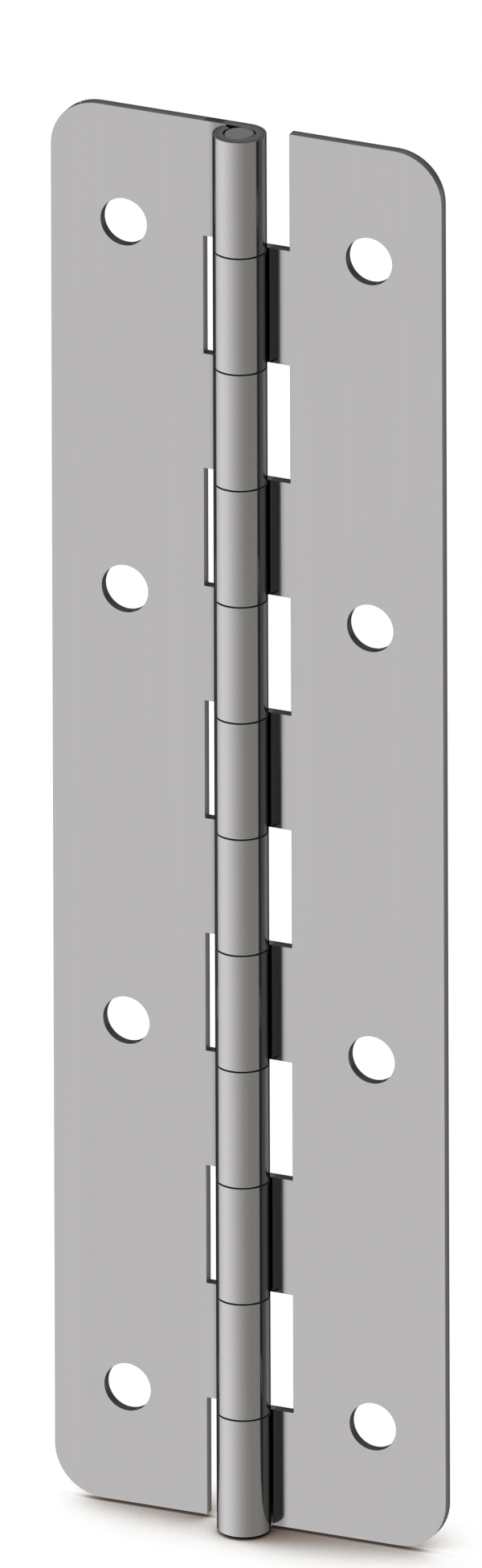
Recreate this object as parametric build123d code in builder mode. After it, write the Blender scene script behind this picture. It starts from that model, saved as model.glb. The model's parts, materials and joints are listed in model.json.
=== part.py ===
from build123d import *
import math
import os

# Leaf hinge: two leaves of sheet steel, each with a row of rolled knuckles, on one pin.
# X runs across the open hinge, +Y points to its flat back, and +Z runs up the pin.
# The origin is on the pin's axis at mid-length. Sizes are in millimetres.

# Leaves
hinge_length = 210.0
leaf_reach = 29.75  # pin axis to the outer edge of a leaf
sheet_thickness = 1.5
corner_radius = 7.2

# Barrel and pin
pin_diameter = 4.5
pin_clearance = 0.05  # radial running clearance in every knuckle
pin_chamfer = 0.3
knuckle_count = 12  # along the whole barrel, the two leaves taking turns
knuckle_gap = 0.2  # end play between neighbouring knuckles
roll_gap = 0.4  # between the free edge of a roll and the face of its own leaf
notch_clearance = 2.75  # between the barrel and the bottom of a notch

# Screw holes
hole_diameter = 7.0
hole_edge_distance = 11.1  # outer edge of a leaf to its row of holes
hole_end_distance = 17.25  # end of a leaf to its first hole
inner_hole_spacing = 65.0  # between the two middle holes of a row

# Sizes that follow from the ones above
bore_radius = pin_diameter / 2 + pin_clearance
barrel_radius = bore_radius + sheet_thickness
knuckle_pitch = hinge_length / knuckle_count
notch_edge = barrel_radius + notch_clearance
hole_row = leaf_reach - hole_edge_distance
outer_hole_spacing = hinge_length - 2 * hole_end_distance

# A roll starts at the back of the barrel and stops short of its own leaf's front face.
roll_start = 90
roll_end_rise = math.degrees(math.asin((bore_radius - roll_gap) / barrel_radius))
roll_sweep = 360 - roll_start + roll_end_rise


def make_leaf(label, side, first_knuckle):
    """Make one leaf: side is -1 for left and 1 for right, and knuckles count from the top."""
    notch_centres = [
        hinge_length / 2 - (place + 0.5) * knuckle_pitch
        for place in range(1 - first_knuckle, knuckle_count, 2)
    ]
    hole_heights = [
        end * spacing / 2
        for spacing in (outer_hole_spacing, inner_hole_spacing)
        for end in (-1, 1)
    ]

    with BuildPart() as leaf:
        # The sheet seen from its end: flat along the back, then rolled round the pin
        with BuildSketch(Plane.XY.offset(-hinge_length / 2)):
            with BuildLine():
                outer_roll = CenterArc((0, 0), barrel_radius, roll_start, side * roll_sweep)
                inner_roll = CenterArc((0, 0), bore_radius, roll_start, side * roll_sweep)
                Line(outer_roll @ 1, inner_roll @ 1)
                Polyline(
                    outer_roll @ 0,
                    (side * leaf_reach, barrel_radius),
                    (side * leaf_reach, bore_radius),
                    inner_roll @ 0,
                )
            make_face()
        extrude(amount=hinge_length)

        # Notches that leave room for the other leaf's knuckles
        notch_width = notch_edge + 2 * barrel_radius
        with BuildSketch(Plane.XZ):
            with Locations(*[(side * (notch_edge - notch_width / 2), z) for z in notch_centres]):
                Rectangle(notch_width, knuckle_pitch + knuckle_gap)
        extrude(amount=2 * barrel_radius, both=True, mode=Mode.SUBTRACT)

        # Screw holes
        with BuildSketch(Plane.XZ):
            with Locations(*[(side * hole_row, z) for z in hole_heights]):
                Circle(hole_diameter / 2)
        extrude(amount=2 * barrel_radius, both=True, mode=Mode.SUBTRACT)

        # Rounded outer corners
        outermost = -1 if side > 0 else 0
        fillet(leaf.edges().filter_by(Axis.Y).group_by(Axis.X)[outermost], corner_radius)

    leaf.part.label = label
    export_step(leaf.part, f"parts/{label}.step")


os.makedirs("parts", exist_ok=True)

make_leaf("frame_leaf", side=-1, first_knuckle=0)
make_leaf("door_leaf", side=1, first_knuckle=1)

with BuildPart() as hinge_pin:
    with BuildSketch(Plane.XY.offset(-hinge_length / 2)):
        Circle(pin_diameter / 2)
    extrude(amount=hinge_length)
    chamfer(hinge_pin.edges().filter_by(GeomType.CIRCLE), pin_chamfer)

hinge_pin.part.label = "hinge_pin"
export_step(hinge_pin.part, "parts/hinge_pin.step")
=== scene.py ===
"""Leaf hinge in satin steel: two stamped leaves with rolled knuckles on a drawn pin."""

import json
import logging
import math
from dataclasses import dataclass, field
from enum import Enum
from typing import Any, Mapping, Optional, Sequence, Union

import bmesh
import bpy
from mathutils import Euler, Matrix, Vector


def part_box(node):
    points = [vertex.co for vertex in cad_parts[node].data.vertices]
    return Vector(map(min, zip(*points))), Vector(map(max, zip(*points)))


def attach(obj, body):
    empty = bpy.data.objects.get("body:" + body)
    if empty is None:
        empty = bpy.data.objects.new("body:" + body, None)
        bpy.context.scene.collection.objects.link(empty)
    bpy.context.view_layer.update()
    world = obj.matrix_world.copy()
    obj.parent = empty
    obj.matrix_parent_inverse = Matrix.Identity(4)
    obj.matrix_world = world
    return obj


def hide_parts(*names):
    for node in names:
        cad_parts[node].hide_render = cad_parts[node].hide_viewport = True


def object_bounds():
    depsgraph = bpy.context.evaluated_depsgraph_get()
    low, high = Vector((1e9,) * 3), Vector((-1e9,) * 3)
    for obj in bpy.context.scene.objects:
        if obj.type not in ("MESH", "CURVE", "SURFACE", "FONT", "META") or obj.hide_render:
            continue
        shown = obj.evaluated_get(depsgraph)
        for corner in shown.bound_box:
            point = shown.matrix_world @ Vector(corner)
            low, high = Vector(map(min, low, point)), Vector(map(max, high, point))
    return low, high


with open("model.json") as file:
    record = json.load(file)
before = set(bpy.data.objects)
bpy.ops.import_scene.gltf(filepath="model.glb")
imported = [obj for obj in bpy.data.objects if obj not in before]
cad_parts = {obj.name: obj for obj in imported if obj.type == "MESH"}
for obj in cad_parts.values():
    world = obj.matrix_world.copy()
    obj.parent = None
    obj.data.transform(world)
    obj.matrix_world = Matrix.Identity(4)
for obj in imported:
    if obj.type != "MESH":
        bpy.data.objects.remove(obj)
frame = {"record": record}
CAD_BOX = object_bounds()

LOG = logging.getLogger("leaf_hinge")
MM = 0.001
WHITE = (1.0, 1.0, 1.0)
SEAM = 0.001 * MM
SHARP_ANGLE = math.radians(35)
BREAK_SEGMENTS = 2

Colour = tuple[float, float, float]
Scale = tuple[float, float, float]
Direction = tuple[float, float, float]
Span = tuple[float, float]
Operand = Union["Signal", float, int]


class Signal:
    """One output in a node tree. Arithmetic on it adds Math nodes to that tree."""

    def __init__(self, graph: "Graph", socket: bpy.types.NodeSocket) -> None:
        """Wrap a socket.

        Args:
            graph: The tree that the socket is in.
            socket: The output socket.
        """
        self.graph = graph
        self.socket = socket

    def math(self, operation: str, *operands: Operand) -> "Signal":
        """Add one Math node.

        Args:
            operation: The Math node's operation.
            operands: Its values or links, in order.

        Returns:
            The node's value.
        """
        inputs = dict(enumerate(operands))
        return self.graph.node("ShaderNodeMath", {"operation": operation}, inputs)["Value"]

    def __add__(self, other: Operand) -> "Signal":
        """Return self + other."""
        return self.math("ADD", self, other)

    def __radd__(self, other: Operand) -> "Signal":
        """Return other + self."""
        return self.math("ADD", other, self)

    def __sub__(self, other: Operand) -> "Signal":
        """Return self - other."""
        return self.math("SUBTRACT", self, other)

    def __rsub__(self, other: Operand) -> "Signal":
        """Return other - self."""
        return self.math("SUBTRACT", other, self)

    def __mul__(self, other: Operand) -> "Signal":
        """Return self * other."""
        return self.math("MULTIPLY", self, other)

    def __rmul__(self, other: Operand) -> "Signal":
        """Return other * self."""
        return self.math("MULTIPLY", other, self)

    def __truediv__(self, other: Operand) -> "Signal":
        """Return self / other."""
        return self.math("DIVIDE", self, other)

    def __neg__(self) -> "Signal":
        """Return -self."""
        return self.math("MULTIPLY", self, -1.0)

    def at_least(self, floor: Operand) -> "Signal":
        """Return the larger of self and floor."""
        return self.math("MAXIMUM", self, floor)

    def root(self) -> "Signal":
        """Return the square root of self."""
        return self.math("SQRT", self)

    def magnitude(self) -> "Signal":
        """Return self without its sign."""
        return self.math("ABSOLUTE", self)

    def sine(self) -> "Signal":
        """Return the sine of self, in radians."""
        return self.math("SINE", self)

    def cosine(self) -> "Signal":
        """Return the cosine of self, in radians."""
        return self.math("COSINE", self)

    def ramp(self, start: float, end: float) -> "Signal":
        """Rise smoothly from 0 at start to 1 at end.

        Args:
            start: The value where the rise begins.
            end: The value where it is complete. It may lie below start.

        Returns:
            The eased share, from 0 to 1.
        """
        settings = {"interpolation_type": "SMOOTHSTEP"}
        inputs = {"Value": self, "From Min": start, "From Max": end}
        return self.graph.node("ShaderNodeMapRange", settings, inputs)["Result"]


class Outputs:
    """A node's outputs, by name."""

    def __init__(self, graph: "Graph", node: bpy.types.Node) -> None:
        """Keep the node and the tree it is in.

        Args:
            graph: The tree.
            node: The node.
        """
        self.graph = graph
        self.node = node

    def __getitem__(self, name: str) -> Signal:
        """Return the output of that identifier or name."""
        return Signal(self.graph, find_socket(self.node.outputs, name))


def find_socket(sockets: Any, key: Union[str, int]) -> bpy.types.NodeSocket:
    """Find a node's socket.

    Args:
        sockets: The node's inputs or outputs.
        key: A place in the list, an identifier or a name.

    Returns:
        The socket.
    """
    if isinstance(key, int):
        return sockets[key]
    by_identifier = [socket for socket in sockets if socket.identifier == key]
    return by_identifier[0] if by_identifier else sockets[key]


class Graph:
    """A node tree that is being written."""

    def __init__(self, tree: bpy.types.NodeTree) -> None:
        """Start on a tree and clear what it holds.

        Args:
            tree: A material's, a world's or a geometry tree.
        """
        self.tree = tree
        tree.nodes.clear()

    def node(
        self,
        kind: str,
        settings: Optional[Mapping[str, Any]] = None,
        inputs: Optional[Mapping[Union[str, int], Any]] = None,
    ) -> Outputs:
        """Add one node.

        Args:
            kind: The node's type.
            settings: Its properties, which are set first.
            inputs: The values or links of its sockets. A list of links goes into one socket.

        Returns:
            The node's outputs.
        """
        made = self.tree.nodes.new(kind)
        for name, value in (settings or {}).items():
            setattr(made, name, value)
        for key, value in (inputs or {}).items():
            socket = find_socket(made.inputs, key)
            for item in value if isinstance(value, list) else [value]:
                if isinstance(item, Signal):
                    self.tree.links.new(item.socket, socket)
                else:
                    socket.default_value = item
        return Outputs(self, made)

    def mix_colour(self, share: Operand, first: Any, second: Any) -> Signal:
        """Mix two colours.

        Args:
            share: The share of the second colour.
            first: A colour or a link.
            second: A colour or a link.

        Returns:
            The mixed colour.
        """
        settings = {"data_type": "RGBA"}
        inputs = {"Factor_Float": share, "A_Color": first, "B_Color": second}
        return self.node("ShaderNodeMix", settings, inputs)["Result_Color"]

    def noise(self, place: Signal, scale: Scale, detail: float = 2.0) -> Signal:
        """Add a noise that is stretched along the axes.

        Args:
            place: The coordinates, in metres.
            scale: Repeats a metre along X, Y and Z.
            detail: The number of finer layers.

        Returns:
            The noise, about 0.5 on average.
        """
        settings = {"operation": "MULTIPLY"}
        stretched = self.node("ShaderNodeVectorMath", settings, {0: place, 1: scale})
        inputs = {"Vector": stretched["Vector"], "Scale": 1.0, "Detail": detail}
        return self.node("ShaderNodeTexNoise", {"noise_dimensions": "3D"}, inputs)["Fac"]

    def bump(self, relief: Signal, strength: float) -> Signal:
        """Add a bump.

        Args:
            relief: The height, in metres.
            strength: The share of it that shows.

        Returns:
            The bumped normal.
        """
        inputs = {"Strength": strength, "Distance": 1.0, "Height": relief}
        return self.node("ShaderNodeBump", None, inputs)["Normal"]


def opaque(colour: Colour) -> tuple[float, float, float, float]:
    """Give a colour its alpha of 1."""
    return (*colour, 1.0)


def scaled(colour: Colour, factor: float) -> Colour:
    """Make a colour lighter or darker by a factor."""
    return tuple(part * factor for part in colour)


class Mark(str, Enum):
    """The attributes that a leaf's mesh carries for its finish."""

    SHEARED = "sheared"
    PIERCED = "pierced"
    DEPTH = "depth"
    OWN_SIDE = "own_side"


@dataclass(frozen=True)
class SheetFinish:
    """Cold-rolled sheet: satin face, fine grain along the pin, sheared edges, painted shade by the
    barrel and holes.

    Lengths are in metres, and scales are in repeats a metre along X, Y and Z. A span gives
    where a change begins and where it is complete: torn_depths and crevice_front in shares
    of the sheet from its back and from its front, flank_end as distances from a notch's bottom.
    """

    colour: Colour = (0.426, 0.4185, 0.434)
    streak_tone: float = 0.94
    edge_colour: Colour = (0.44, 0.432, 0.436)
    torn_tone: float = 0.72
    torn_depths: Span = (0.62, 0.38)
    # painted shade: the darker colour of the hole walls stands in for the shade inside the holes
    painted_hole_shade: Colour = (0.23, 0.226, 0.226)
    # painted shade: the black that the corner beside the barrel and the tongues' flanks are darkened
    # towards
    painted_shade_colour: Colour = (0.0, 0.0, 0.0)
    grazing_tint: Colour = (0.05, 0.05, 0.05)
    roughness: float = 0.14
    grain_roughness: float = 0.08
    cloud_roughness: float = 0.10
    edge_roughness: float = 0.42
    torn_roughness: float = 0.16
    grain_scale: Scale = (2600.0, 2600.0, 18.0)
    grain_detail: float = 3.0
    streak_scale: Scale = (260.0, 260.0, 5.0)
    cloud_scale: Scale = (45.0, 45.0, 30.0)
    shear_scale: Scale = (5200.0, 240.0, 5200.0)
    grain_depth: float = 0.004 * MM
    shear_depth: float = 0.03 * MM
    relief_strength: float = 0.35
    # where the painted shade in the corner beside the barrel falls, and how dark it is
    crevice_reach: float = 2.9 * MM
    crevice_core: float = 1.45 * MM
    crevice_climb: float = 1.6
    crevice_front: Span = (0.8, 0.4)
    crevice_shade: float = 0.42
    # where the painted shade on the tongues' flanks falls, and how dark it is
    flank_start: float = 0.6 * MM
    flank_end: Span = (0.05 * MM, 0.2 * MM)
    flank_shade: float = 0.45

    def material(self, sizes: "HingeSizes") -> bpy.types.Material:
        """Write the material.

        Args:
            sizes: The hinge's sizes, which give the places where shade is painted.

        Returns:
            The material of both leaves.
        """
        made = bpy.data.materials.new("satin_sheet")
        made.use_nodes = True
        graph = Graph(made.node_tree)
        place = graph.node("ShaderNodeTexCoord")["Object"]
        grain = graph.noise(place, self.grain_scale, self.grain_detail)
        cloud = graph.noise(place, self.cloud_scale)
        shear = graph.noise(place, self.shear_scale)
        sheared = self.attribute(graph, Mark.SHEARED)
        torn = self.attribute(graph, Mark.DEPTH).ramp(*self.torn_depths)

        face = self.face(graph, place, sizes)
        edge = self.edge(graph, place, sizes, torn * (0.5 + 0.5 * shear))
        face_roughness = self.roughness + self.grain_roughness * (grain - 0.5)
        face_roughness = face_roughness + self.cloud_roughness * (cloud - 0.5)
        edge_roughness = self.edge_roughness + self.torn_roughness * torn * shear
        relief = (1 - sheared) * grain * self.grain_depth + sheared * shear * self.shear_depth
        shader = graph.node(
            "ShaderNodeBsdfPrincipled",
            None,
            {
                "Base Color": graph.mix_colour(sheared, face, edge),
                "Metallic": 1.0,
                "Roughness": face_roughness + sheared * (edge_roughness - face_roughness),
                "Specular Tint": opaque(self.grazing_tint),
                "Normal": graph.bump(relief, self.relief_strength),
            },
        )
        graph.node("ShaderNodeOutputMaterial", None, {"Surface": shader["BSDF"]})
        return made

    def face(self, graph: Graph, place: Signal, sizes: "HingeSizes") -> Signal:
        """Colour the sheet's faces: long streaks, and painted shade in the corner beside the barrel.

        Args:
            graph: The material's tree.
            place: The coordinates, in metres.
            sizes: The hinge's sizes.

        Returns:
            The colour.
        """
        streak = graph.noise(place, self.streak_scale)
        dull = scaled(self.colour, self.streak_tone)
        clean = graph.mix_colour(streak, opaque(self.colour), opaque(dull))
        # painted shade: the corner between the barrel and the leaf's front is darkened towards black
        painted_shade = self.crevice(graph, place, sizes) * self.crevice_shade
        return graph.mix_colour(painted_shade, clean, opaque(self.painted_shade_colour))

    def edge(self, graph: Graph, place: Signal, sizes: "HingeSizes", torn: Signal) -> Signal:
        """Colour the sheared edges: torn behind, with painted shade in the holes and on the tongues'
        flanks.

        Args:
            graph: The material's tree.
            place: The coordinates, in metres.
            sizes: The hinge's sizes.
            torn: How much of the torn metal shows.

        Returns:
            The colour.
        """
        rough = scaled(self.edge_colour, self.torn_tone)
        cut = graph.mix_colour(torn, opaque(self.edge_colour), opaque(rough))
        pierced = self.attribute(graph, Mark.PIERCED)
        # painted shade: the walls of the screw holes are darkened
        cut = graph.mix_colour(pierced, cut, opaque(self.painted_hole_shade))
        # painted shade: the edges on the tongues' flanks are darkened towards black
        painted_shade = self.flank(graph, place, sizes) * self.flank_shade
        return graph.mix_colour(painted_shade, cut, opaque(self.painted_shade_colour))

    def crevice(self, graph: Graph, place: Signal, sizes: "HingeSizes") -> Signal:
        """Find the corner between the barrel and the front of the leaf, where shade is painted.

        Args:
            graph: The material's tree.
            place: The coordinates, in metres.
            sizes: The hinge's sizes.

        Returns:
            1 in the corner, fading to 0 away from it and at the leaf's back.
        """
        parts = graph.node("ShaderNodeSeparateXYZ", None, {"Vector": place})
        reach = math.sqrt(sizes.barrel_radius ** 2 - sizes.bore_radius ** 2)
        across = parts["X"] * self.attribute(graph, Mark.OWN_SIDE) - reach
        out = parts["Y"] - sizes.bore_radius
        climbed = out / self.crevice_climb
        distance = (across * across + climbed * climbed).root()
        front = (out / sizes.sheet).ramp(*self.crevice_front)
        return distance.ramp(self.crevice_reach, self.crevice_core) * front

    def flank(self, graph: Graph, place: Signal, sizes: "HingeSizes") -> Signal:
        """Find the part of a tongue between the barrel and the notches, whose edges get painted shade.

        Args:
            graph: The material's tree.
            place: The coordinates, in metres.
            sizes: The hinge's sizes.

        Returns:
            1 on that part and 0 on the barrel and on the rest of the leaf.
        """
        parts = graph.node("ShaderNodeSeparateXYZ", None, {"Vector": place})
        across = parts["X"] * self.attribute(graph, Mark.OWN_SIDE)
        past_barrel = across.ramp(sizes.barrel_radius - self.flank_start, sizes.barrel_radius)
        before_notch = (sizes.notch_edge - across).ramp(*self.flank_end)
        return past_barrel * before_notch

    @staticmethod
    def attribute(graph: Graph, mark: Mark) -> Signal:
        """Read one of the mesh's attributes."""
        return graph.node("ShaderNodeAttribute", {"attribute_name": mark.value})["Fac"]


@dataclass(frozen=True)
class RodFinish:
    """Drawn rod with streaks along its length and turned ends.

    Lengths are in metres, and scales are in repeats a metre along X, Y and Z.
    """

    colour: Colour = (0.40, 0.394, 0.392)
    dull_tone: float = 0.88
    roughness: float = 0.32
    drawn_roughness: float = 0.10
    turned_roughness: float = 0.06
    drawn_scale: Scale = (3200.0, 3200.0, 30.0)
    drawn_detail: float = 3.0
    cloud_scale: Scale = (300.0, 300.0, 60.0)
    drawn_depth: float = 0.004 * MM
    ring_pitch: float = 0.16 * MM
    ring_depth: float = 0.003 * MM
    relief_strength: float = 0.4
    end_blend: float = 0.02 * MM

    def material(self, end_height: float) -> bpy.types.Material:
        """Write the material.

        Args:
            end_height: The height above and below the middle where the turned ends start.

        Returns:
            The pin's material.
        """
        made = bpy.data.materials.new("drawn_rod")
        made.use_nodes = True
        graph = Graph(made.node_tree)
        place = graph.node("ShaderNodeTexCoord")["Object"]
        parts = graph.node("ShaderNodeSeparateXYZ", None, {"Vector": place})
        radius = (parts["X"] * parts["X"] + parts["Y"] * parts["Y"]).root()
        turned = parts["Z"].magnitude().ramp(end_height - self.end_blend, end_height)
        rings = (radius * (2 * math.pi / self.ring_pitch)).sine()
        drawn = graph.noise(place, self.drawn_scale, self.drawn_detail)
        cloud = graph.noise(place, self.cloud_scale)
        relief = (1 - turned) * drawn * self.drawn_depth + turned * rings * self.ring_depth
        dull = scaled(self.colour, self.dull_tone)
        roughness = self.roughness + self.drawn_roughness * (drawn - 0.5)
        shader = graph.node(
            "ShaderNodeBsdfPrincipled",
            None,
            {
                "Base Color": graph.mix_colour(cloud, opaque(self.colour), opaque(dull)),
                "Metallic": 1.0,
                "Roughness": roughness + self.turned_roughness * turned,
                "Normal": graph.bump(relief, self.relief_strength),
            },
        )
        graph.node("ShaderNodeOutputMaterial", None, {"Surface": shader["BSDF"]})
        return made


@dataclass(frozen=True)
class HingeSizes:
    """The sizes that the leaves and the pin share, in metres."""

    length: float
    leaf_reach: float
    barrel_radius: float
    hole_radius: float
    hole_row: float
    hole_heights: tuple[float, ...]
    sheet: float = 1.5 * MM
    corner_radius: float = 7.2 * MM
    knuckle_count: int = 12
    knuckle_gap: float = 0.2 * MM
    roll_gap: float = 0.4 * MM
    notch_clearance: float = 2.75 * MM
    pin_radius: float = 2.25 * MM
    pin_chamfer: float = 0.3 * MM
    edge_break: float = 0.08 * MM
    pin_break: float = 0.04 * MM

    @classmethod
    def from_frame(cls) -> "HingeSizes":
        """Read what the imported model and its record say.

        Returns:
            The sizes.
        """
        low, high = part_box("door_leaf")
        mounts = [m for m in frame["record"]["mounts"] if m["name"].startswith("door_leaf")]
        screws = [m for m in mounts if m["kind"] == "bolt_pattern"]
        spacings = sorted(m["dims"]["spacing_y_mm"] * MM for m in screws)
        heights = sorted(sign * spacing / 2 for spacing in spacings for sign in (-1, 1))
        return cls(
            length=high.z - low.z,
            leaf_reach=high.x,
            barrel_radius=high.y,
            hole_radius=screws[0]["dims"]["hole_r_mm"] * MM,
            hole_row=screws[0]["pos_m"][0],
            hole_heights=tuple(heights),
        )

    @property
    def bore_radius(self) -> float:
        """The inside of a knuckle."""
        return self.barrel_radius - self.sheet

    @property
    def roll_radius(self) -> float:
        """The middle of the rolled sheet, which keeps its length."""
        return self.barrel_radius - self.sheet / 2

    @property
    def roll_length(self) -> float:
        """The sheet's length in one roll, up to its free edge."""
        end_rise = math.asin((self.bore_radius - self.roll_gap) / self.barrel_radius)
        return self.roll_radius * (1.5 * math.pi + end_rise)

    @property
    def notch_edge(self) -> float:
        """The pin's axis to the bottom of a notch."""
        return self.barrel_radius + self.notch_clearance

    def knuckle_span(self, place: int) -> tuple[float, float]:
        """Find a knuckle's lower and upper end.

        Args:
            place: Its place from the top, from 0.

        Returns:
            The two heights.
        """
        pitch = self.length / self.knuckle_count
        top = self.length / 2 - place * pitch
        upper = top - (self.knuckle_gap / 2 if place else 0.0)
        last = place == self.knuckle_count - 1
        lower = top - pitch + (0.0 if last else self.knuckle_gap / 2)
        return lower, upper


@dataclass
class Blank:
    """A leaf before it is rolled: a flat outline with its tongues, notches and holes.

    Points are given as the distance from the pin's axis and the height. What lies past the
    axis, at negative distances, is rolled up later.
    """

    sizes: HingeSizes
    roll_steps: int = 75
    corner_steps: int = 14
    side_steps: int = 18
    same_point: float = 1e-4 * MM
    mesh: bmesh.types.BMesh = field(default_factory=bmesh.new)
    points: dict[tuple[int, int], bmesh.types.BMVert] = field(default_factory=dict)
    pierced: bmesh.types.BMLayerItem = field(init=False)

    def __post_init__(self) -> None:
        """Add the mark for the rims of the holes."""
        self.pierced = self.mesh.verts.layers.float.new(Mark.PIERCED.value)

    def vertex(self, reach: float, height: float) -> bmesh.types.BMVert:
        """Return the vertex at a point, and make it the first time.

        Args:
            reach: The distance from the pin's axis.
            height: The height.

        Returns:
            The vertex.
        """
        key = (round(reach / self.same_point), round(height / self.same_point))
        if key not in self.points:
            self.points[key] = self.mesh.verts.new((reach, 0.0, height))
        return self.points[key]

    def face(self, outline: Sequence[tuple[float, float]]) -> None:
        """Add a face.

        Args:
            outline: Its points, counterclockwise as seen from the front.
        """
        self.mesh.faces.new([self.vertex(*point) for point in outline])

    def tongues(self) -> list[float]:
        """Add each tongue, flat, with the cross lines on which it rolls.

        Returns:
            The heights of the tongues' ends, from the bottom up.
        """
        sizes = self.sizes
        step = sizes.roll_length / self.roll_steps
        lines = [sizes.notch_edge] + [-step * i for i in range(self.roll_steps + 1)]
        heights = []
        for place in range(1, sizes.knuckle_count, 2):
            lower, upper = sizes.knuckle_span(place)
            heights += [lower, upper]
            for near, far in zip(lines, lines[1:]):
                self.face([(far, lower), (near, lower), (near, upper), (far, upper)])
        return sorted(heights)

    def square(self, height: float) -> list[tuple[float, float]]:
        """List the points of the square round a hole.

        Args:
            height: The hole's height.

        Returns:
            The points, counterclockwise from the lower corner beside the pin.
        """
        half = self.half_square
        steps = [-half + 2 * half * i / self.side_steps for i in range(self.side_steps)]
        row = self.sizes.hole_row
        sides = [[(row + s, height - half) for s in steps], [(row + half, height + s) for s in steps]]
        sides += [[(row - s, height + half) for s in steps], [(row - half, height - s) for s in steps]]
        return [point for side in sides for point in side]

    @property
    def half_square(self) -> float:
        """Half the side of the square round a hole, which ends where the corners start."""
        return self.sizes.leaf_reach - self.sizes.corner_radius - self.sizes.hole_row

    def holes(self) -> None:
        """Add the ring of faces round each screw hole, and the stretches between them."""
        sizes = self.sizes
        squares = [self.square(height) for height in sizes.hole_heights]
        for height, square in zip(sizes.hole_heights, squares):
            rim = [self.on_rim(point, height) for point in square]
            for i in range(len(square)):
                after = (i + 1) % len(square)
                self.face([square[i], square[after], rim[after], rim[i]])
                self.vertex(*rim[i])[self.pierced] = 1.0
        end = sizes.length / 2
        low, high = sizes.hole_row - self.half_square, sizes.hole_row + self.half_square
        count = self.side_steps
        tops = [square[2 * count:3 * count + 1][::-1] for square in squares]
        feet = [square[:count + 1] for square in squares]
        lower_end, upper_end = [(low, -end), (high, -end)], [(low, end), (high, end)]
        for below, above in zip([lower_end, *tops], [*feet, upper_end]):
            self.face(below + above[::-1])

    def on_rim(self, point: tuple[float, float], height: float) -> tuple[float, float]:
        """Carry a point of a square inwards to the hole's rim.

        Args:
            point: The point.
            height: The hole's height.

        Returns:
            The point on the rim.
        """
        way = Vector((point[0] - self.sizes.hole_row, point[1] - height)).normalized()
        reach = self.sizes.hole_row + way.x * self.sizes.hole_radius
        return reach, height + way.y * self.sizes.hole_radius

    def sides(self, tongue_ends: Sequence[float]) -> None:
        """Add the strip beside the notches and the strip with the rounded corners.

        Args:
            tongue_ends: The heights where tongues start and end, from the bottom up.
        """
        sizes = self.sizes
        end = sizes.length / 2
        count = self.side_steps
        squares = [self.square(height) for height in sizes.hole_heights]
        inner = [(square[3 * count:] + square[:1])[::-1] for square in squares]
        outer = [square[count:2 * count + 1] for square in squares]
        low, high = sizes.hole_row - self.half_square, sizes.hole_row + self.half_square
        inner_line = [(low, -end)] + [point for side in inner for point in side] + [(low, end)]
        outer_line = [(high, -end)] + [point for side in outer for point in side] + [(high, end)]
        levels = [end, *reversed(tongue_ends)]
        self.face(inner_line + [(sizes.notch_edge, level) for level in levels])
        self.face(self.corner(-1) + self.corner(1) + outer_line[::-1][1:-1])

    def corner(self, end: int) -> list[tuple[float, float]]:
        """List a rounded corner's points, counterclockwise.

        Args:
            end: -1 for the lower corner and 1 for the upper one.

        Returns:
            The points from one tangent to the other.
        """
        radius = self.sizes.corner_radius
        reach = self.sizes.leaf_reach - radius
        height = end * (self.sizes.length / 2 - radius)
        start = -0.5 * math.pi if end < 0 else 0.0
        turns = [start + 0.5 * math.pi * i / self.corner_steps for i in range(self.corner_steps + 1)]
        return [(reach + radius * math.cos(turn), height + radius * math.sin(turn)) for turn in turns]

    def finish(self) -> bpy.types.Mesh:
        """Build the blank.

        Returns:
            The flat mesh, whose faces look to the front.
        """
        ends = self.tongues()
        self.holes()
        self.sides(ends)
        flat = bpy.data.meshes.new("leaf_blank")
        self.mesh.to_mesh(flat)
        self.mesh.free()
        return flat


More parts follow.
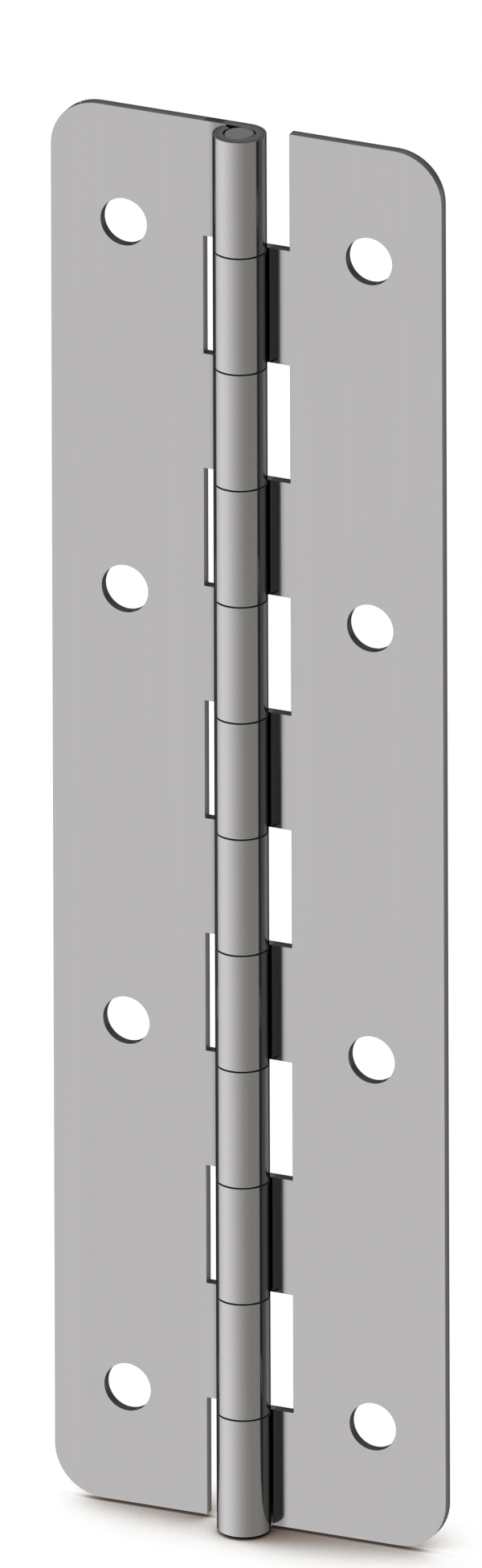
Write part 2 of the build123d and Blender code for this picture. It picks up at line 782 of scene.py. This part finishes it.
@dataclass
class RollingTree:
    """The geometry tree that gives a blank its thickness and rolls its tongues round the pin."""

    tree: bpy.types.NodeTree = field(
        default_factory=lambda: bpy.data.node_groups.new("rolled_leaf", "GeometryNodeTree")
    )
    inputs: dict[str, str] = field(default_factory=dict)

    def add_input(self, name: str, kind: str) -> None:
        """Add a named input and keep its identifier."""
        socket = self.tree.interface.new_socket(name, in_out="INPUT", socket_type=kind)
        self.inputs[name] = socket.identifier

    def build(self) -> "RollingTree":
        """Write the tree.

        Returns:
            This tree, ready for a modifier.
        """
        self.tree.is_modifier = True
        self.add_input("Blank", "NodeSocketGeometry")
        for name in ("Sheet", "Barrel Radius", "Roll Radius", "Turn"):
            self.add_input(name, "NodeSocketFloat")
        self.add_input("Finish", "NodeSocketMaterial")
        self.tree.interface.new_socket("Leaf", in_out="OUTPUT", socket_type="NodeSocketGeometry")

        graph = Graph(self.tree)
        given = graph.node("NodeGroupInput")
        solid = self.thicken(graph, given["Blank"], given["Sheet"])
        rolled = self.roll(graph, solid, given["Barrel Radius"], given["Roll Radius"])
        smooth = graph.node("GeometryNodeSetShadeSmooth", None, {"Geometry": rolled})["Geometry"]
        sided = self.store(graph, smooth, Mark.OWN_SIDE, "POINT", given["Turn"].cosine())
        turn = graph.node("ShaderNodeCombineXYZ", None, {"Y": given["Turn"]})["Vector"]
        placed = graph.node("GeometryNodeTransform", None, {"Geometry": sided, "Rotation": turn})
        whole = graph.node("GeometryNodeRealizeInstances", None, {"Geometry": placed["Geometry"]})
        dressing = {"Geometry": whole["Geometry"], "Material": given["Finish"]}
        dressed = graph.node("GeometryNodeSetMaterial", None, dressing)
        graph.node("NodeGroupOutput", None, {"Leaf": dressed["Geometry"]})
        return self

    @staticmethod
    def thicken(graph: Graph, blank: Signal, sheet: Signal) -> Signal:
        """Give the blank its thickness and mark its sheared edges.

        Args:
            graph: The tree.
            blank: The flat back of the sheet.
            sheet: The thickness.

        Returns:
            A closed solid with its attributes.
        """
        offset = graph.node("ShaderNodeCombineXYZ", None, {"Y": -sheet})["Vector"]
        way = {"Mesh": blank, "Offset": offset, "Offset Scale": 1.0, "Individual": False}
        raised = graph.node("GeometryNodeExtrudeMesh", {"mode": "FACES"}, way)
        sheared = RollingTree.store(graph, raised["Mesh"], Mark.SHEARED, "FACE", raised["Side"])
        back = graph.node("GeometryNodeFlipFaces", None, {"Mesh": blank})["Mesh"]
        joined = graph.node("GeometryNodeJoinGeometry", None, {"Geometry": [sheared, back]})
        closing = {"Geometry": joined["Geometry"], "Distance": SEAM}
        closed = graph.node("GeometryNodeMergeByDistance", None, closing)["Geometry"]
        place = graph.node("GeometryNodeInputPosition")["Position"]
        depth = -graph.node("ShaderNodeSeparateXYZ", None, {"Vector": place})["Y"] / sheet
        return RollingTree.store(graph, closed, Mark.DEPTH, "POINT", depth)

    @staticmethod
    def store(graph: Graph, shape: Signal, mark: Mark, domain: str, value: Signal) -> Signal:
        """Store one of the attributes.

        Args:
            graph: The tree.
            shape: The geometry that gets it.
            mark: The attribute.
            domain: POINT or FACE.
            value: Its value.

        Returns:
            The geometry with the attribute.
        """
        settings = {"data_type": "FLOAT", "domain": domain}
        inputs = {"Geometry": shape, "Name": mark.value, "Value": value}
        return graph.node("GeometryNodeStoreNamedAttribute", settings, inputs)["Geometry"]

    @staticmethod
    def roll(graph: Graph, solid: Signal, barrel_radius: Signal, roll_radius: Signal) -> Signal:
        """Roll what lies past the pin's axis round it, and set the rest at the barrel's back.

        Args:
            graph: The tree.
            solid: The flat leaf, with its back at Y = 0.
            barrel_radius: The outside of the roll.
            roll_radius: The radius on which the sheet keeps its length.

        Returns:
            The rolled leaf.
        """
        place = graph.node("GeometryNodeInputPosition")["Position"]
        flat = graph.node("ShaderNodeSeparateXYZ", None, {"Vector": place})
        angle = (-flat["X"]).at_least(0.0) / roll_radius
        radius = barrel_radius + flat["Y"]
        across = flat["X"].at_least(0.0) - radius * angle.sine()
        back = radius * angle.cosine()
        rolled = graph.node("ShaderNodeCombineXYZ", None, {"X": across, "Y": back, "Z": flat["Z"]})
        setting = {"Geometry": solid, "Position": rolled["Vector"]}
        return graph.node("GeometryNodeSetPosition", None, setting)["Geometry"]


def break_edges(piece: bpy.types.Object, width: float) -> None:
    """Round a piece's sharp edges a little and keep the shading of its flat faces even.

    Args:
        piece: The piece.
        width: The width of the rounding, in metres.
    """
    bevel = piece.modifiers.new("edge_break", "BEVEL")
    bevel.limit_method = "ANGLE"
    bevel.angle_limit = SHARP_ANGLE
    bevel.width = width
    bevel.segments = BREAK_SEGMENTS
    bevel.harden_normals = True


def make_plain(piece: bpy.types.Object) -> None:
    """Turn a piece's modifiers into a plain mesh.

    Args:
        piece: The piece, which keeps its name.
    """
    graph = bpy.context.evaluated_depsgraph_get()
    plain = bpy.data.meshes.new_from_object(piece.evaluated_get(graph), depsgraph=graph)
    plain.name = piece.name
    piece.modifiers.clear()
    piece.data = plain


def put(name: str, data: bpy.types.ID) -> bpy.types.Object:
    """Put a new object in the scene.

    Args:
        name: The object's name.
        data: Its mesh, lamp or camera.

    Returns:
        The object.
    """
    made = bpy.data.objects.new(name, data)
    bpy.context.scene.collection.objects.link(made)
    return made


@dataclass
class Leaf:
    """One leaf. The frame's leaf is the door's leaf turned end for end."""

    name: str
    node: str
    body: str
    turned: bool
    sizes: HingeSizes

    def build(self, rolling: RollingTree, finish: bpy.types.Material) -> bpy.types.Object:
        """Make the leaf and let it stand for its node.

        Args:
            rolling: The tree that thickens and rolls a blank.
            finish: The sheet's material.

        Returns:
            The leaf.
        """
        piece = put(self.name, Blank(self.sizes).finish())
        modifier = piece.modifiers.new("roll", "NODES")
        modifier.node_group = rolling.tree
        values = {
            "Sheet": self.sizes.sheet,
            "Barrel Radius": self.sizes.barrel_radius,
            "Roll Radius": self.sizes.roll_radius,
            "Turn": math.pi if self.turned else 0.0,
            "Finish": finish,
        }
        for name, value in values.items():
            modifier[rolling.inputs[name]] = value
        break_edges(piece, self.sizes.edge_break)
        make_plain(piece)
        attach(piece, self.body)
        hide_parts(self.node)
        return piece


@dataclass
class Pin:
    """The drawn pin, with a chamfer at each end."""

    name: str
    node: str
    body: str
    sizes: HingeSizes
    segments: int = 96
    end_rings: tuple[float, ...] = (0.35, 0.75, 1.0)
    end_skin: float = 0.01 * MM

    def profile(self) -> list[tuple[float, float]]:
        """List the rings of vertices along the pin.

        Returns:
            The radius and height of each ring, from the lower end to the upper one.
        """
        radius, chamfer = self.sizes.pin_radius, self.sizes.pin_chamfer
        end = self.sizes.length / 2
        half = [((radius - chamfer) * share, end) for share in self.end_rings]
        half.append((radius, end - chamfer))
        return [(r, -z) for r, z in half] + half[::-1]

    def build(self, finish: RodFinish) -> bpy.types.Object:
        """Make the pin and let it stand for its node.

        Args:
            finish: The rod's finish.

        Returns:
            The pin.
        """
        body = bmesh.new()
        rings = [self.ring(body, radius, height) for radius, height in self.profile()]
        for below, above in zip(rings, rings[1:]):
            for i in range(self.segments):
                after = (i + 1) % self.segments
                body.faces.new([below[i], below[after], above[after], above[i]])
        body.faces.new(rings[0][::-1])
        body.faces.new(rings[-1])
        mesh = bpy.data.meshes.new(self.name)
        body.to_mesh(mesh)
        body.free()
        mesh.shade_smooth()
        mesh.materials.append(finish.material(self.sizes.length / 2 - self.end_skin))
        piece = put(self.name, mesh)
        break_edges(piece, self.sizes.pin_break)
        make_plain(piece)
        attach(piece, self.body)
        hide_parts(self.node)
        return piece

    def ring(self, body: bmesh.types.BMesh, radius: float, height: float) -> list[bmesh.types.BMVert]:
        """Add one ring of vertices, counterclockwise from above."""
        turns = [2 * math.pi * i / self.segments for i in range(self.segments)]
        return [body.verts.new((radius * math.cos(t), radius * math.sin(t), height)) for t in turns]


@dataclass(frozen=True)
class View:
    """The photograph's view: parallel, from the right of the front and from above."""

    azimuth: float = 23.6
    elevation: float = 22.28
    roll: float = -0.19
    frame_height: float = 218.55 * MM
    aim_right: float = -0.1 * MM
    aim_up: float = 6.41 * MM
    distance: float = 1.0
    nearest: float = 0.01
    farthest: float = 20.0

    def camera(self) -> bpy.types.Object:
        """Place the camera.

        Returns:
            The camera, which is also set on the scene.
        """
        data = bpy.data.cameras.new("camera")
        data.type = "ORTHO"
        data.ortho_scale = self.frame_height
        data.clip_start = self.nearest
        data.clip_end = self.farthest
        turn = Euler((math.radians(90 - self.elevation), 0.0, math.radians(self.azimuth))).to_matrix()
        turn = turn @ Matrix.Rotation(math.radians(self.roll), 3, "Z")
        made = put("camera", data)
        place = turn @ Vector((self.aim_right, self.aim_up, self.distance))
        made.matrix_world = Matrix.Translation(place) @ turn.to_4x4()
        bpy.context.scene.camera = made
        return made


@dataclass(frozen=True)
class Lamp:
    """A distant round lamp overhead. It lights the floor and stays out of the metal's reflections."""

    name: str
    spread: float
    level: float
    colour: Colour = WHITE
    left: float = 0.0
    back: float = 0.0

    def hang(self) -> bpy.types.Object:
        """Hang the lamp, tilted to the left and back by its angles.

        Returns:
            The lamp.
        """
        data = bpy.data.lights.new(self.name, "SUN")
        data.angle = math.radians(self.spread)
        data.energy = math.pi * self.level
        data.color = self.colour
        left, back = math.tan(math.radians(self.left)), math.tan(math.radians(self.back))
        made = put(self.name, data)
        made.rotation_euler = Vector((-left, back, 1.0)).to_track_quat("Z", "Y").to_euler()
        made.visible_glossy = False
        return made


@dataclass(frozen=True)
class Studio:
    """A pale floor under two overhead lamps, in a room with soft boxes on the left and behind.

    Angles are in degrees from +X. A rise is a direction's height, from -1 straight down to 1
    straight up, and its span gives where a part of the room begins and where it shows in full.
    The spans of the floor's painted shade and painted contact shadow are shares of the sky that the
    hinge hides.
    """

    floor_height: float
    floor_size: float = 12.0
    floor_gap: float = 0.55 * MM
    floor_colour: Colour = (0.785, 0.773, 0.762)
    floor_glow: float = 0.9
    # the painted shade and painted contact shadow in the floor's glow
    shade_colour: Colour = (0.22, 0.17, 0.14)
    shade_reach: float = 20.0 * MM
    shade_span: Span = (0.16, 0.55)
    shade_lean: Direction = (-0.3, -0.1, 1.0)
    shade_samples: int = 16
    contact_shadow_colour: Colour = (0.0, 0.0, 0.0)
    contact_shadow_span: Span = (0.5, 0.85)
    box_angle: float = -157.0
    box_level: float = 1.03
    box_spread: float = 0.75
    box_rise: Span = (0.30, 0.05)
    rear_angle: float = 110.0
    rear_level: float = 0.5
    rear_spread: float = -0.2
    room_colour: Colour = (1.0, 0.985, 0.89)
    room_level: float = 0.44
    room_rise: Span = (0.12, -0.10)
    under_level: float = 0.8
    under_rise: Span = (-0.6, -0.95)
    ceiling_level: float = 0.41
    ceiling_rise: Span = (0.0, 0.28)
    dim_angle: float = 40.0
    dim_share: float = 0.6
    dim_spread: float = -0.2
    lamps: tuple[Lamp, ...] = (
        Lamp("overhead", spread=5.6, level=0.64, left=4.0, back=1.0),
        Lamp("fill", spread=110.0, level=0.6, colour=(1.0, 0.89, 0.78)),
    )

    def build(self) -> None:
        """Make the floor, the room's light and the overhead lamps."""
        self.floor()
        self.room()
        for lamp in self.lamps:
            lamp.hang()

    def floor(self) -> None:
        """Lay the floor, whose shadow of the hinge is partly cast by the lamps and mostly painted into
        its glow. The metal mirrors the room instead.
        """
        half = self.floor_size / 2
        height = self.floor_height - self.floor_gap
        corners = [(x * half, y * half, height) for x, y in ((-1, -1), (1, -1), (1, 1), (-1, 1))]
        mesh = bpy.data.meshes.new("floor")
        mesh.from_pydata(corners, [], [(0, 1, 2, 3)])
        material = bpy.data.materials.new("pale_floor")
        material.use_nodes = True
        graph = Graph(material.node_tree)
        rays = graph.node("ShaderNodeLightPath")
        seen = rays["Is Camera Ray"] + rays["Is Glossy Ray"] + rays["Is Transmission Ray"]
        matt = graph.node("ShaderNodeBsdfDiffuse", None, {"Color": opaque(self.floor_colour)})
        glow = graph.node("ShaderNodeEmission", None, {"Color": self.floor_tone(graph)})
        shares = {"Fac": seen * self.floor_glow, 1: matt["BSDF"], 2: glow["Emission"]}
        both = graph.node("ShaderNodeMixShader", None, shares)
        graph.node("ShaderNodeOutputMaterial", None, {"Surface": both["Shader"]})
        mesh.materials.append(material)
        made = put("floor", mesh)
        made.visible_glossy = False

    def floor_tone(self, graph: Graph) -> Signal:
        """Colour the floor as it is seen: white in the open, with painted shade and a painted dark
        contact line close to the hinge.

        Args:
            graph: The floor's tree.

        Returns:
            The colour.
        """
        lean = graph.node("ShaderNodeVectorMath", {"operation": "NORMALIZE"}, {0: self.shade_lean})
        inputs = {"Distance": self.shade_reach, "Normal": lean["Vector"]}
        settings = {"samples": self.shade_samples}
        blocked = 1 - graph.node("ShaderNodeAmbientOcclusion", settings, inputs)["AO"]
        # painted shade: the share of sky that the hinge hides darkens the floor's glow, to black right
        # under it
        shaded = blocked.ramp(*self.shade_span)
        tone = graph.mix_colour(shaded, opaque(WHITE), opaque(self.shade_colour))
        return graph.mix_colour(blocked.ramp(*self.contact_shadow_span), tone, opaque(self.contact_shadow_colour))

    def room(self) -> None:
        """Light the room, which is white to the camera and which the metal mirrors.

        Below the horizon there is a pale surround with a soft box on the left and a weaker one
        behind. Above it there is a dim ceiling, which is darker behind the right leaf.
        """
        world = bpy.data.worlds.new("room")
        world.use_nodes = True
        bpy.context.scene.world = world
        graph = Graph(world.node_tree)
        way = graph.node("ShaderNodeTexCoord")["Generated"]
        rise = graph.node("ShaderNodeSeparateXYZ", None, {"Vector": way})["Z"]
        left = self.lobe(graph, way, self.box_angle, self.box_spread) * self.box_level
        rear = self.lobe(graph, way, self.rear_angle, self.rear_spread) * self.rear_level
        dimmed = self.lobe(graph, way, self.dim_angle, self.dim_spread) * self.dim_share
        under = rise.ramp(*self.under_rise) * self.under_level

        rays = graph.node("ShaderNodeLightPath")
        seen = rays["Is Camera Ray"]
        mirrored = (1 - seen) * (1 - rays["Diffuse Depth"]).at_least(0.0)
        below = mirrored * rise.ramp(*self.room_rise)
        boxed = mirrored * rise.ramp(*self.box_rise)
        above = (1 - seen) * rise.ramp(*self.ceiling_rise) * (1 - dimmed)
        surround = self.background(graph, self.room_colour, below * (self.room_level + under))
        boxes = self.background(graph, WHITE, boxed * left + below * rear)
        ceiling = self.background(graph, WHITE, seen + above * self.ceiling_level)
        low = graph.node("ShaderNodeAddShader", None, {0: surround, 1: boxes})["Shader"]
        whole = graph.node("ShaderNodeAddShader", None, {0: low, 1: ceiling})["Shader"]
        graph.node("ShaderNodeOutputWorld", None, {"Surface": whole})

    @staticmethod
    def lobe(graph: Graph, way: Signal, angle: float, spread: float) -> Signal:
        """Find how far a ray turns towards one side of the room, at any height.

        Args:
            graph: The room's tree.
            way: The direction of the ray.
            angle: The direction of the lobe's middle, in degrees from +X.
            spread: How far past a quarter turn the lobe still reaches, as a cosine.

        Returns:
            The lobe's share, from 0 to 1 in the middle.
        """
        flattening = {0: way, 1: (1.0, 1.0, 0.0)}
        level = graph.node("ShaderNodeVectorMath", {"operation": "MULTIPLY"}, flattening)
        unit = graph.node("ShaderNodeVectorMath", {"operation": "NORMALIZE"}, {0: level["Vector"]})
        turn = math.radians(angle)
        towards = {0: unit["Vector"], 1: (math.cos(turn), math.sin(turn), 0.0)}
        facing = graph.node("ShaderNodeVectorMath", {"operation": "DOT_PRODUCT"}, towards)["Value"]
        share = (facing + spread).at_least(0.0) / (1.0 + spread)
        return share * share

    @staticmethod
    def background(graph: Graph, colour: Colour, strength: Signal) -> Signal:
        """Add one part of the room's light."""
        inputs = {"Color": opaque(colour), "Strength": strength}
        return graph.node("ShaderNodeBackground", None, inputs)["Background"]


def report(piece: bpy.types.Object) -> None:
    """Log what a finished piece holds."""
    LOG.info("%s: %d faces", piece.name, len(piece.data.polygons))


def main() -> None:
    """Build the hinge and the studio round it."""
    logging.basicConfig(level=logging.INFO, format="%(name)s: %(message)s")
    bpy.context.scene.view_settings.view_transform = "Standard"
    sizes = HingeSizes.from_frame()
    rolling = RollingTree().build()
    finish = SheetFinish().material(sizes)
    leaves = [
        Leaf("stamped_frame_leaf", "frame_leaf", "frame_side", True, sizes),
        Leaf("stamped_door_leaf", "door_leaf", "door_side", False, sizes),
    ]
    for leaf in leaves:
        report(leaf.build(rolling, finish))
    report(Pin("drawn_pin", "hinge_pin", "frame_side", sizes).build(RodFinish()))
    Studio(floor_height=CAD_BOX[0][2]).build()
    View().camera()


if __name__ == "__main__":
    main()
